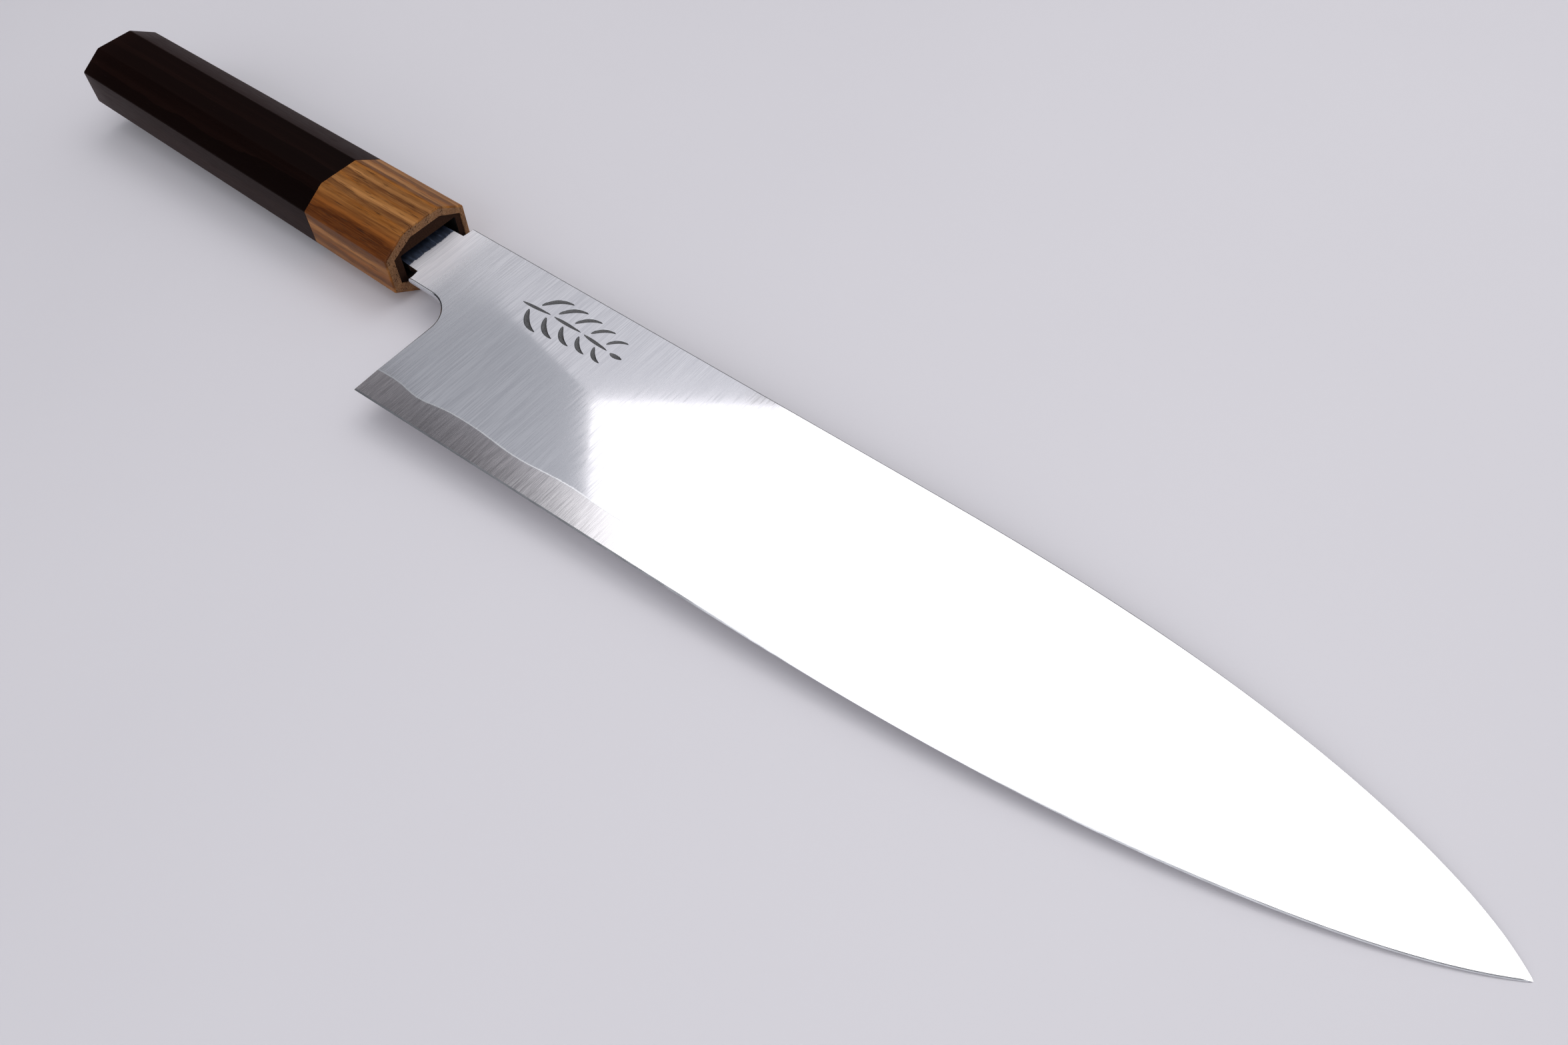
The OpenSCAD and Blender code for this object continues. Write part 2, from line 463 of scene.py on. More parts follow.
def cladding_mesh(name, side):
    """One cladding layer, with its ground face, its face against the core and its narrow faces."""
    skin = Skin()
    every = range(len(STATIONS))
    outside = [column(i, wall(i, False)[0], wall(i, True)[0], outer_height) for i in every]
    inside = [column(i, wall(i, False)[-1], wall(i, True)[-1], inner_z) for i in every]
    skin.grid(outside, FACE)
    skin.grid(inside, HIDDEN)
    skin.grid([wall(i, False) for i in every], SIDE)
    skin.grid([wall(i, True) for i in every], SPINE)
    for i in (0, len(STATIONS) - 1):
        loop = outside[i] + wall(i, True)[1:-1] + inside[i][::-1]
        skin.cap(loop + wall(i, False)[-2:0:-1], HIDDEN)
    skin.points = [(x, y, z * side) for x, y, z in skin.points]
    return skin.mesh(name)


def core_wall(i, upper):
    """The core's narrow face, from its right side to its left side."""
    top = end_of(i, upper)[-1] - LAYER_GAP
    return [wall_point(i, upper, z) for z in np.linspace(top, -top, WALL_ROWS + 1)]


# Where the rows of the bare band lie, from the top of the bevel to the cladding line
LIP_SHARE = 0.05
BAND_SHARES = (0.18, 0.36, 0.55, 0.75, 1.0)


def band_column(x, y, edge_x):
    """Points up the bare band, from the cutting edge to the cladding line at (x, y)."""
    bottom = edge_y(edge_x)
    lip = bottom + bevel_height(edge_x)
    points = [(edge_x, bottom, 0.0), (lerp(edge_x, x, LIP_SHARE), lip, band_z(edge_x, lip))]
    for share in BAND_SHARES:
        px, py = lerp(edge_x, x, share), lerp(lip, y, share)
        points.append((px, py, band_z(px, py)))
    return points


def tip_column(x):
    """Points from the cutting edge to the spine, beyond the claddings."""
    points = band_column(x, line_y(x), x)
    top = spine_y(x)
    for v in np.linspace(0, 1, FACE_ROWS + 1)[1:]:
        y = lerp(line_y(x), top, v)
        points.append((x, y, band_z(x, y)))
    return points


def bare_bands():
    """Columns of the bare band, from the heel to the claddings' end."""
    edge_lean = HEEL_REACH - LOW[CORNER][0]
    bands = []
    for x, y in LOW[CORNER:]:
        lean = edge_lean * (1 - smooth((x - HEEL_REACH) / HEEL_BLEND))
        bands.append(band_column(x, y, x + lean))
    return bands


def tip_columns(last_band):
    """Columns beyond the claddings, from the last band's until they close at the tip."""
    tips = [tip_column(x) for x in np.linspace(CLAD_REACH, TIP_STOP, TIP_COLUMNS + 1)]
    tips[0][: len(last_band)] = last_band
    end = (TIP_STOP, (edge_y(TIP_STOP) + spine_y(TIP_STOP)) / 2, 0.0)
    tips[-1] = [end] * len(tips[0])
    return tips


def mirrored(points):
    return [(x, y, -z) for x, y, z in points]


def straight_across(point):
    """Points through the thickness, from one on the right face to its twin on the left face."""
    x, y, z = point
    return [(x, y, z * share) for share in np.linspace(1, -1, WALL_ROWS + 1)]


def core_mesh(name):
    """The hard steel sheet: tang, hidden faces under the claddings, bare band and tip."""
    skin = Skin()
    every = range(len(STATIONS))
    hidden = [column(i, core_wall(i, False)[0], core_wall(i, True)[0], core_height) for i in every]
    bands = bare_bands()
    tips = tip_columns(bands[-1])

    # Both faces, with the narrow steps at the cladding line and at the claddings' end
    line_step = [[band[-1], row[0]] for band, row in zip(bands, hidden[CORNER:])]
    end_step = [list(pair) for pair in zip(tips[0][len(bands[0]) - 1:], hidden[-1])]
    patches = [
        (hidden, HIDDEN),
        ([row[:2] for row in bands + tips[1:]], SIDE),
        ([row[1:] for row in bands], FACE),
        ([row[1:] for row in tips], FACE),
        (line_step, HIDDEN),
        (end_step, HIDDEN),
    ]
    for rows, slot in patches:
        skin.grid(rows, slot)
        skin.grid([mirrored(row) for row in rows], slot)

    # Narrow faces: along the spine, along the tang, neck and choil, and down the heel's back
    skin.grid([core_wall(i, True) for i in every], SPINE)
    skin.grid([core_wall(i, False) for i in range(CORNER + 1)], SIDE)
    heel = bands[0]
    skin.cap(heel + core_wall(CORNER, False) + mirrored(heel[:0:-1]), SIDE)

    # The spine at the tip, its joint with the claddings' end, and the tang's end
    spine = [straight_across(tip[-1]) for tip in tips]
    skin.grid(spine, SPINE)
    skin.cap(spine[0][:1] + core_wall(every[-1], True) + spine[0][:0:-1], SPINE)
    start = hidden[0]
    tang_end = start + core_wall(0, True)[1:-1] + mirrored(start[::-1]) + core_wall(0, False)[-2:0:-1]
    skin.cap(tang_end, HIDDEN)
    return skin.mesh(name)


# ---------------- handle

# Small reliefs: the fine groove round the joint, the gap between ferrule and tenon, and the eased rims of
# the ferrule's bore, the tenon and the slot
JOINT_GROOVE = 0.04
JOINT_RUN = 0.05
TENON_GAP = 0.01
FERRULE_CHAMFER = 0.4
BORE_RIM = 0.08
TENON_RIM = 0.1
SLOT_RIM = 0.15
SLOT_EASE = 0.3


def rounded(corners, radius):
    """A closed outline with its corners eased: every corner becomes a short curve."""
    made = []
    corners = [Vector(c) for c in corners]
    for k, corner in enumerate(corners):
        before = corner + (corners[k - 1] - corner).normalized() * radius
        after = corner + (corners[(k + 1) % len(corners)] - corner).normalized() * radius
        for step in range(CORNER_ROWS + 1):
            t = step / CORNER_ROWS
            made.append(curve(before, corner, after, t))
    return made


def octagon(width, thick):
    """Corners of the handle's octagon as (y, z), round from the edge side."""
    w, t = width / 2, thick / 2
    b, d = w * TOP_FLAT, t * SIDE_FLAT
    return [(-w, d), (-b, t), (b, t), (w, d), (w, -d), (b, -t), (-b, -t), (-w, -d)]


def slot_outline():
    """The tang slot's mouth, with as many corners as the octagon."""
    w, t = SLOT_WIDTH / 2, SLOT_HIGH / 2
    corners = [(-w, t / 2), (-w, t), (w, t), (w, t / 2), (w, -t / 2), (w, -t), (-w, -t), (-w, -t / 2)]
    return [(y + SLOT_SHIFT, z) for y, z in corners]


def ring(x, corners, ease):
    return [(x, p.x, p.y) for p in rounded(corners, ease)]


def handle_ring(x, inset=0.0):
    size = lerp(1, HANDLE_TAPER, -x / HANDLE_LENGTH)
    corners = octagon(HANDLE_WIDTH * size - 2 * inset, HANDLE_THICK * size - 2 * inset)
    return ring(x, corners, EDGE_EASE)


def tenon_ring(x, inset=0.0):
    corners = octagon(TENON_WIDTH - 2 * inset, TENON_THICK - 2 * inset)
    return ring(x, [(y + TENON_SHIFT, z) for y, z in corners], EDGE_EASE / 2)


def slot_ring(x, grow=0.0):
    corners = [(y + math.copysign(grow, y - SLOT_SHIFT), z + math.copysign(grow, z))
               for y, z in slot_outline()]
    return ring(x, corners, SLOT_EASE)


def eased_end(x, forward, size, ring_at):
    """Rings that round off an end face at x, from the side to the face."""
    made = []
    for k in range(CORNER_ROWS + 1):
        a = k / CORNER_ROWS * math.pi / 2
        made.append(ring_at(x - forward * size * (1 - math.sin(a)), size * (1 - math.cos(a))))
    return made


# Material slots of the handle's pieces
WOOD, END_GRAIN, CHAR_AND_SHADE = 0, 1, 2


def ferrule_mesh(name):
    """The wooden collar: a tapered octagonal tube with eased rims."""
    skin = Skin()
    joint = -FERRULE_LENGTH
    outside = [handle_ring(joint, JOINT_GROOVE)]
    outside += [handle_ring(x) for x in np.linspace(joint + JOINT_RUN, -END_CHAMFER, 8)]
    front = eased_end(0, 1, FERRULE_CHAMFER, handle_ring)
    bore = [tenon_ring(0, -BORE_RIM), tenon_ring(-BORE_RIM), tenon_ring(joint)]
    skin.grid(outside + front, WOOD, close=True)
    skin.grid([front[-1], bore[0]], END_GRAIN, close=True)
    skin.grid(bore, END_GRAIN, close=True)
    skin.grid([bore[-1], outside[0]], END_GRAIN, close=True)
    return skin.mesh(name)


def handle_mesh(name):
    """The grip: a tapered octagon with a tenon in front, and the tang's slot inside."""
    skin = Skin()
    joint, face = -FERRULE_LENGTH, -TENON_INSET
    butt = eased_end(-HANDLE_LENGTH, -1, END_CHAMFER, handle_ring)[::-1]
    grip = [handle_ring(x) for x in np.linspace(END_CHAMFER - HANDLE_LENGTH, joint - JOINT_RUN, 14)]
    shoulder = handle_ring(joint, JOINT_GROOVE)
    tenon = [tenon_ring(joint, TENON_GAP), tenon_ring(face - TENON_RIM, TENON_GAP),
             tenon_ring(face, TENON_RIM)]
    mouth = slot_ring(face, SLOT_RIM)
    slot = [slot_ring(x) for x in np.linspace(face - SLOT_RIM, -SLOT_DEPTH, 6)]
    skin.cap(butt[0], END_GRAIN)
    skin.grid(butt + grip[1:] + [shoulder], WOOD, close=True)
    skin.grid([shoulder, tenon[0]], END_GRAIN, close=True)
    skin.grid(tenon, WOOD, close=True)
    skin.grid([tenon[-1], mouth], END_GRAIN, close=True)
    skin.grid([mouth] + slot, CHAR_AND_SHADE, close=True)
    skin.cap(slot[-1], CHAR_AND_SHADE)
    return skin.mesh(name)


# ---------------- chiselled sprig

# A cut's cross-section: its depth, the narrow bevel at its rim, and the floor's corners as shares of its
# width and depth. The cutter flares a little above the face.
CUT_DEPTH = 0.26
RIM_WIDTH = 0.13
RIM_DROP = 0.07
RIM_RISE = 0.03
FLOOR_WIDTH = 0.75
FLOOR_DEPTH = 0.8
CUTTER_TOP = 0.6
CUTTER_FLARE = 1.2

# A cut's rows, how much is trimmed off its sharp ends, and how it swells in between
STROKE_ROWS = 18
STROKE_TRIM = 0.02
SWELL_SKEW = 0.8
SWELL_POWER = 0.7

# The stem's wave and cuts, and the leaves along it
STEM_HEIGHT = 0.4
STEM_WAVE = 0.9
STEM_CUTS = ((31.0, 39.4), (40.2, 48.6), (49.4, 57.0))
STEM_WIDTH = 0.8
LEAF_PAIRS = 5
FIRST_LEAF = 33.5
LEAF_PITCH = 5.0
LEAF_LENGTH = 6.6
LEAF_WIDTH = 1.25
LEAF_STAGGER = 1.6


def stem_y(x):
    """The stem's middle line, a gentle wave."""
    return STEM_HEIGHT + STEM_WAVE * math.sin((x - 30) / 9.5)


def cut_profile(width, swell):
    """Cross-section of a cut as (across, up), from rim to rim and then over the cutter's top. swell is 1
    where the cut is at its widest."""
    half, deep = width / 2 * swell, CUT_DEPTH * swell**0.5
    rim = half + RIM_WIDTH * swell
    right = [(0, -deep), (half * FLOOR_WIDTH, -deep * FLOOR_DEPTH), (half, -RIM_DROP), (rim, RIM_RISE)]
    left = [(-across, up) for across, up in right[:0:-1]]
    return left + right + [(rim * CUTTER_FLARE, CUTTER_TOP), (-rim * CUTTER_FLARE, CUTTER_TOP)]


def stroke(skin, start, bend_point, end, width):
    """A boat-shaped chisel cut along a curve, as a closed cutter with a narrow bevelled rim."""
    start, bend_point, end = (np.array(p, float) for p in (start, bend_point, end))
    rows = []
    for t in np.linspace(STROKE_TRIM, 1 - STROKE_TRIM, STROKE_ROWS + 1):
        centre = curve(start, bend_point, end, t)
        run = (bend_point - start) * (1 - t) + (end - bend_point) * t
        sideways = np.array([-run[1], run[0]]) / np.linalg.norm(run)
        swell = math.sin(math.pi * t**SWELL_SKEW) ** SWELL_POWER
        row = []
        for across, up in cut_profile(width, swell):
            x, y = centre + sideways * across
            row.append((x, y, clad_z(x, y) + CLAD_PROUD + up))
        rows.append(row)
    columns = np.array(rows)
    skin.grid(columns[:, 0:2].tolist(), SIDE)
    skin.grid(columns[:, 1:6].tolist(), GROOVE)
    skin.grid(columns[:, 5:7].tolist(), SIDE)
    skin.grid(columns[:, [6, 7, 8, 0]].tolist(), HIDDEN)
    skin.cap(rows[0], GROOVE)
    skin.cap(rows[-1], GROOVE)


def leaf(skin, foot, side, length, width):
    """One leaf, which leaves the stem at x = foot and curls forward."""
    y = stem_y(foot)
    start = (foot + 0.4, y + side * 1.05)
    middle = (foot + 0.35 * length, y + side * (0.75 * length + 0.6))
    end = (foot + length, y + side * (0.8 * length + 0.4))
    stroke(skin, start, middle, end, width)


def sprig_cutter():
    """A plain leafy sprig: a stem in three cuts, leaves along both sides of it, and one at its end."""
    skin = Skin()
    for x0, x1 in STEM_CUTS:
        middle = (x0 + x1) / 2
        stroke(skin, (x0, stem_y(x0)), (middle, stem_y(middle)), (x1, stem_y(x1)), STEM_WIDTH)
    for k in range(LEAF_PAIRS):
        foot = FIRST_LEAF + LEAF_PITCH * k
        length = LEAF_LENGTH - 0.5 * k
        width = LEAF_WIDTH - 0.08 * k
        leaf(skin, foot + LEAF_STAGGER, 1, length, width)
        leaf(skin, foot, -1, length, width)
    stroke(skin, (57.9, stem_y(57.9)), (59.6, stem_y(59)), (61.4, stem_y(61) + 0.3), 1.1)
    return skin.mesh("sprig_cutter")


def carve(mesh, cutter):
    """The mesh with the cutter's strokes taken out of it."""
    body = bpy.data.objects.new("carving", mesh)
    tool = bpy.data.objects.new("carving_tool", cutter)
    for item in (body, tool):
        bpy.context.scene.collection.objects.link(item)
    cut = body.modifiers.new("cut", "BOOLEAN")
    cut.operation, cut.solver, cut.object = "DIFFERENCE", "EXACT", tool
    bpy.context.view_layer.update()
    depsgraph = bpy.context.evaluated_depsgraph_get()
    made = bpy.data.meshes.new_from_object(body.evaluated_get(depsgraph))
    bpy.data.objects.remove(body)
    bpy.data.objects.remove(tool)
    return made


# ---------------- laying the knife down

# The knife's frame on the worktop. The record's mount on the butt says where its end is, and which way it
# points: backwards along the knife.
mounts = {m["name"]: m for m in frame["record"]["mounts"]}
butt = mounts["butt_face"]
ALONG = -Vector(butt["axis"]).normalized()
UP = Vector((-ALONG.z, 0.0, ALONG.x))
ORIGIN = Vector(butt["pos_m"]) + ALONG * HANDLE_LENGTH * MM
TURN = Matrix((ALONG, Vector((0, 1, 0)), UP)).transposed()
CRISP_ANGLE = math.radians(28)


def normal_of(height, x, y, side):
    """Unit normal of the surface z = side * height(x, y)."""
    step = 0.02
    slope_x = (height(x + step, y) - height(x - step, y)) / (2 * step)
    slope_y = (height(x, y + step) - height(x, y - step)) / (2 * step)
    return Vector((-slope_x, -slope_y, side)).normalized()


def keep_places(mesh):
    """Stores and returns every point's place in the knife's own frame. The materials read it, and the
    brushed steel takes its direction from the UV map."""
    count = len(mesh.vertices)
    places = np.empty(count * 3)
    mesh.vertices.foreach_get("co", places)
    mesh.attributes.new("knife", "FLOAT_VECTOR", "POINT").data.foreach_set("vector", places)
    places = places.reshape(count, 3)
    corners = np.empty(len(mesh.loops), int)
    mesh.loops.foreach_get("vertex_index", corners)
    mesh.uv_layers.new(name="brush").data.foreach_set("uv", (places[corners, :2] / 100).ravel())
    return places


def ground_normals(mesh, places, ground):
    """Normals of every face corner: exact ones on the ground face, whose half thickness is ground(x, y),
    and zero ones elsewhere, which leaves those to Blender."""
    normals = [Vector()] * len(mesh.loops)
    for face in mesh.polygons:
        if face.material_index != FACE:
            continue
        side = math.copysign(1, face.normal.z)
        for loop in face.loop_indices:
            x, y, _ = places[mesh.loops[loop].vertex_index]
            normals[loop] = TURN @ normal_of(ground, x, y, side)
    return normals


def lay_down(mesh, name, node, materials, ground=None):
    """Makes the piece: smooth shading with crisp edges, and its place on the worktop. ground is the half
    thickness of its ground face, if it has one."""
    for item in materials:
        mesh.materials.append(item)
    mesh.polygons.foreach_set("use_smooth", [True] * len(mesh.polygons))
    mesh.set_sharp_from_angle(angle=CRISP_ANGLE)
    places = keep_places(mesh)
    normals = ground_normals(mesh, places, ground) if ground else None
    flat = (places @ np.array(TURN.transposed())) * MM + np.array(ORIGIN)
    mesh.vertices.foreach_set("co", flat.ravel())
    mesh.update()
    if ground:
        mesh.normals_split_custom_set(normals)
    piece = bpy.data.objects.new(name, mesh)
    bpy.context.scene.collection.objects.link(piece)
    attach(piece, "root")
    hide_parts(node)
    return piece


# ---------------- materials


class Look:
    """A material under construction, with short ways to add its nodes."""

    def __init__(self, name):
        self.material = bpy.data.materials.new(name)
        self.material.use_nodes = True
        self.tree = self.material.node_tree
        self.shader = self.tree.nodes["Principled BSDF"]

    def node(self, kind, inputs, **settings):
        made = self.tree.nodes.new("ShaderNode" + kind)
        for key, value in settings.items():
            setattr(made, key, value)
        for key, value in inputs.items():
            self.feed(made.inputs[key], value)
        return made

    def feed(self, socket, value):
        if isinstance(value, bpy.types.NodeSocket):
            self.tree.links.new(value, socket)
        else:
            socket.default_value = value

    def set(self, **values):
        for key, value in values.items():
            self.feed(self.shader.inputs[key.replace("_", " ")], value)

    def place(self):
        """Position in the knife's own frame, in millimetres."""
        return self.node("Attribute", {}, attribute_name="knife").outputs["Vector"]

    def stretch(self, vector, scale, turn=(0, 0, 0)):
        return self.node("Mapping", {"Vector": vector, "Scale": scale, "Rotation": turn}).outputs[0]

    def noise(self, vector, scale, detail=2.0, rough=0.5):
        inputs = {"Vector": vector, "Scale": scale, "Detail": detail, "Roughness": rough}
        return self.node("TexNoise", inputs).outputs["Fac"]

    def maths(self, operation, a, b=0.0):
        return self.node("Math", {0: a, 1: b}, operation=operation).outputs[0]

    def ranged(self, value, low, high, to_low=0.0, to_high=1.0):
        """value, with low to high mapped smoothly to to_low to to_high."""
        inputs = {"Value": value, "From Min": low, "From Max": high, "To Min": to_low, "To Max": to_high}
        return self.node("MapRange", inputs, interpolation_type="SMOOTHSTEP").outputs[0]

    def ramp(self, value, stops):
        made = self.node("ValToRGB", {"Fac": value})
        elements = made.color_ramp.elements
        while len(elements) < len(stops):
            elements.new(0.5)
        for element, (place, colour) in zip(elements, stops):
            element.position = place
            element.color = (*colour, 1)
        return made.outputs["Color"]

    def mix(self, share, a, b, blend="MIX"):
        made = self.tree.nodes.new("ShaderNodeMix")
        made.data_type, made.blend_type = "RGBA", blend
        for socket, value in ((made.inputs[0], share), (made.inputs[6], a), (made.inputs[7], b)):
            if isinstance(value, tuple):
                value = (*value, 1)
            self.feed(socket, value)
        return made.outputs[2]

    def bump(self, height, distance, strength=1.0):
        """distance is in metres."""
        return self.node("Bump", {"Height": height, "Distance": distance, "Strength": strength}).outputs[0]

    def split(self, vector):
        return self.node("SeparateXYZ", {"Vector": vector}).outputs


def hairlines(look, place, count, stretch, share):
    """Lines from spine to edge, from 0 to 1: count fine ones to a millimetre, which have the share, and
    broader ones."""
    fine = look.noise(look.stretch(place, (1, stretch, stretch), (0, 0, 0.01)), count, 2.0, 0.6)
    middle = look.noise(look.stretch(place, (1, 0.025, 0.025), (0, 0, 0.03)), 1.6, 4.0, 0.7)
    return look.maths("ADD", look.maths("MULTIPLY", fine, share), look.maths("MULTIPLY", middle, 1 - share))


def line_seam(look, place):
    """Share of the pale, dull line where the two steels meet."""
    above = look.node("Attribute", {}, attribute_name="above_line").outputs["Fac"]
    wander = look.maths("MULTIPLY", look.noise(place, 1.3, 3.0), 0.3)
    away = look.maths("ABSOLUTE", look.maths("SUBTRACT", above, wander))
    return look.ranged(away, 0.05, 0.3, 1.0, 0.0)


def forge_scale(look, place, along):
    """Share and colour of the blue-black scale on the tang, which ends raggedly just in front of the
    ferrule."""
    ragged = look.noise(look.stretch(place, (1, 0.6, 1)), 1.1, 4.0, 0.65)
    reach = look.maths("ADD", along, look.maths("MULTIPLY", ragged, 1.4))
    blotch = look.noise(look.stretch(place, (0.3, 1, 1)), 0.9, 4.0, 0.7)
    oxide = look.ramp(blotch, [(0.35, (0.008, 0.011, 0.02)), (0.58, (0.03, 0.042, 0.075)),
                               (0.75, (0.13, 0.16, 0.23))])
    return look.ranged(reach, 1.65, 2.0, 1.0, 0.0), oxide


def steel_look(name, tone, shade, rough, hairline, heel=(1.0, 1.0, 1.0)):
    """Satin steel with hairlines from spine to edge. shade is the tone of the darkest lines, rough is
    the roughness in pale and in dark lines, and hairline is the finest lines' number to a millimetre,
    their stretch and their share of the whole. heel is how much darker the colour is painted near the
    heel: painted shade, standing in for the darker reflection there."""
    look = Look(name)
    place = look.place()
    along = look.split(place)["X"]
    lines = hairlines(look, place, *hairline)
    broad = look.noise(look.stretch(place, (1, 0.06, 0.06)), 0.14, 2.0)
    colour = look.mix(look.ranged(lines, 0.4, 0.58), shade, tone)
    colour = look.mix(look.ranged(broad, 0.35, 0.65, 0.0, 0.3), colour, shade)
    # Painted shade: the colour is darkened towards the heel, standing in for the darker reflection there.
    painted_heel_shade = look.ranged(along, 52.0, 88.0, 1.0, 0.0)
    colour = look.mix(painted_heel_shade, colour, look.mix(1.0, colour, heel, "MULTIPLY"))
    seam = line_seam(look, place)
    colour = look.mix(look.maths("MULTIPLY", seam, 0.45), colour, (0.93, 0.94, 0.95))
    scale, oxide = forge_scale(look, place, along)
    look.set(Base_Color=look.mix(scale, colour, oxide))

    # The neck and the bare start of the tang are left duller than the blade
    neck = look.ranged(along, 4.0, 42.0, 1.0, 0.0)
    bare = look.ranged(along, 2.0, 15.0, 1.0, 0.0)
    dull = look.ranged(lines, 0.34, 0.66, rough[1], rough[0])
    dull = look.maths("ADD", dull, look.maths("MULTIPLY", neck, 0.16))
    dull = look.maths("ADD", dull, look.maths("MULTIPLY", bare, 0.2))
    dull = look.maths("MAXIMUM", dull, look.maths("MULTIPLY", seam, 0.2))
    look.set(Roughness=look.node("Mix", {0: scale, 2: dull, 3: 0.42}).outputs[0])
    covered = look.maths("MAXIMUM", look.maths("MULTIPLY", scale, 0.75), look.maths("MULTIPLY", bare, 0.4))
    look.set(Metallic=look.maths("SUBTRACT", 1.0, covered))
    look.set(Anisotropic=0.7)
    look.set(Tangent=look.node("Tangent", {}, direction_type="UV_MAP", uv_map="brush").outputs[0])
    look.set(Normal=look.bump(lines, 7e-8))
    return look.material


def polished_look(name, tint):
    """Narrow faces: ground and polished along their length."""
    look = Look(name)
    place = look.place()
    marks = look.noise(look.stretch(place, (0.08, 0.2, 3)), 3.0, 3.0, 0.6)
    look.set(Base_Color=look.mix(look.ranged(marks, 0.3, 0.7), tuple(0.75 * c for c in tint), tint))
    look.set(Metallic=1.0, Roughness=look.ranged(marks, 0.3, 0.7, 0.08, 0.17))
    look.set(Normal=look.bump(marks, 5e-7))
    return look.material


def groove_look(name):
    """Chisel cuts, dulled with oxide at the bottom."""
    look = Look(name)
    marks = look.noise(look.place(), 5.0, 4.0, 0.7)
    look.set(Base_Color=look.ramp(marks, [(0.3, (0.05, 0.05, 0.052)), (0.7, (0.2, 0.2, 0.205))]))
    look.set(Metallic=0.9, Roughness=look.ranged(marks, 0.3, 0.7, 0.35, 0.6))
    look.set(Normal=look.bump(marks, 1.5e-5))
    return look.material


def pores(look, place, across, along, size, density, seed):
    """Dark open pores: long along the grain, and round where the grain is cut across."""
    moved = look.node("Mapping", {"Vector": place, "Location": seed, "Scale": (along, across, across)})
    cells = look.node("TexVoronoi", {"Vector": moved.outputs[0], "Scale": 1.0, "Randomness": 1.0})
    round_pore = look.ranged(cells.outputs["Distance"], size * 0.6, size, 1.0, 0.0)
    pick = look.split(cells.outputs["Color"])["X"]
    kept = look.maths("LESS_THAN", pick, density)
    return look.maths("MULTIPLY", round_pore, kept)


def rings(look, place, centre, spacing):
    """Growth rings round a centre beside the handle: 0 to 1 through each year."""
    wobble = look.noise(look.stretch(place, (0.04, 0.2, 0.2)), 1.0, 3.0)
    shifted = look.node("VectorMath", {0: place, 1: (0.0, *centre)}, operation="SUBTRACT").outputs[0]
    flat = look.node("VectorMath", {0: shifted, 1: (0.02, 1, 1)}, operation="MULTIPLY").outputs[0]
    reach = look.node("VectorMath", {0: flat}, operation="LENGTH").outputs["Value"]
    bent = look.maths("ADD", reach, look.maths("MULTIPLY", wobble, 3.0))
    return look.maths("FRACT", look.maths("DIVIDE", bent, spacing))


def honey_tone(look, place, year, fibre):
    """Honey-brown rings and streaks. They are darkened to amber towards the edge's side of the handle,
    most of all on the slanting facet there that faces up: painted shade, as that side gets less light."""
    bands = look.ramp(year, [(0.0, (0.2, 0.075, 0.02)), (0.16, (0.46, 0.21, 0.066)),
                             (0.34, (0.34, 0.14, 0.034)), (0.55, (0.3, 0.1, 0.012)),
                             (0.78, (0.16, 0.055, 0.012)), (1.0, (0.1, 0.033, 0.008))])
    streak = look.noise(look.stretch(place, (0.03, 1, 1)), 0.9, 4.0, 0.6)
    tone = look.mix(look.ranged(streak, 0.35, 0.68, 0.0, 0.7), bands, (0.12, 0.04, 0.009))
    tone = look.mix(look.ranged(fibre, 0.35, 0.75, 0.0, 0.3), tone, (0.5, 0.24, 0.08))
    where = look.split(place)
    # Painted shade: darker amber on the upward slanting facet on the edge's side.
    painted_facet_shade = look.maths("MULTIPLY", look.ranged(where["Y"], -4.5, -8.5, 0.0, 0.85),
                       look.ranged(where["Z"], 3.5, 5.5, 0.35, 1.0))
    return look.mix(painted_facet_shade, tone, look.mix(1.0, tone, (0.46, 0.27, 0.08), "MULTIPLY"))


def honey_pores(look, place, year, wide_pore):
    """Wide and small pores, which crowd in the later part of each year. wide_pore is the scale of the
    wide ones across and along the grain, and their size."""
    wander = look.noise(look.stretch(place, (0.05, 0.3, 0.3)), 1.0, 2.0)
    shift = look.node("CombineXYZ", {"Y": wander, "Z": wander}).outputs[0]
    grain = look.node("VectorMath", {0: place, 1: shift}, operation="ADD").outputs[0]
    wide = pores(look, grain, *wide_pore, look.ranged(year, 0.2, 0.8, 0.5, 1.0), (0, 0, 0))
    small = pores(look, grain, 3.8, 0.17, 0.28, look.ranged(year, 0.1, 0.8, 0.4, 0.9), (5, 3, 7))
    return look.maths("MAXIMUM", wide, look.maths("MULTIPLY", small, 0.7))


def honey_wood_look(name, end_grain):
    """Open-pored honey-brown wood. Its cut ends are greyer, with round pores."""
    look = Look(name)
    place = look.place()
    year = rings(look, place, (-46, 34), 4.3)
    fibre = look.noise(look.stretch(place, (0.04, 1, 1)), 4.5, 3.0, 0.6)
    tone = honey_tone(look, place, year, fibre)
    if end_grain:
        speckle = look.noise(place, 2.6, 4.0, 0.7)
        grey = look.ramp(speckle, [(0.3, (0.11, 0.05, 0.023)), (0.52, (0.26, 0.14, 0.072)),
                                   (0.75, (0.45, 0.27, 0.155))])
        tone = look.mix(0.75, tone, grey)
    wide_pore = (1.5, 0.13, 0.3) if end_grain else (2.5, 0.12, 0.24)
    holes = honey_pores(look, place, year, wide_pore)
    depth = look.maths("MULTIPLY", holes, 0.95 if end_grain else 0.75)
    smoothest, roughest = (0.55, 0.7) if end_grain else (0.36, 0.5)
    look.set(Base_Color=look.mix(depth, tone, (0.03, 0.01, 0.003)))
    look.set(Roughness=look.ranged(fibre, 0.3, 0.7, smoothest, roughest))
    height = look.maths("SUBTRACT", look.maths("MULTIPLY", fibre, 0.12), holes)
    look.set(Normal=look.bump(height, 5e-5, 0.8))
    look.set(Specular_IOR_Level=0.13)
    return look.material


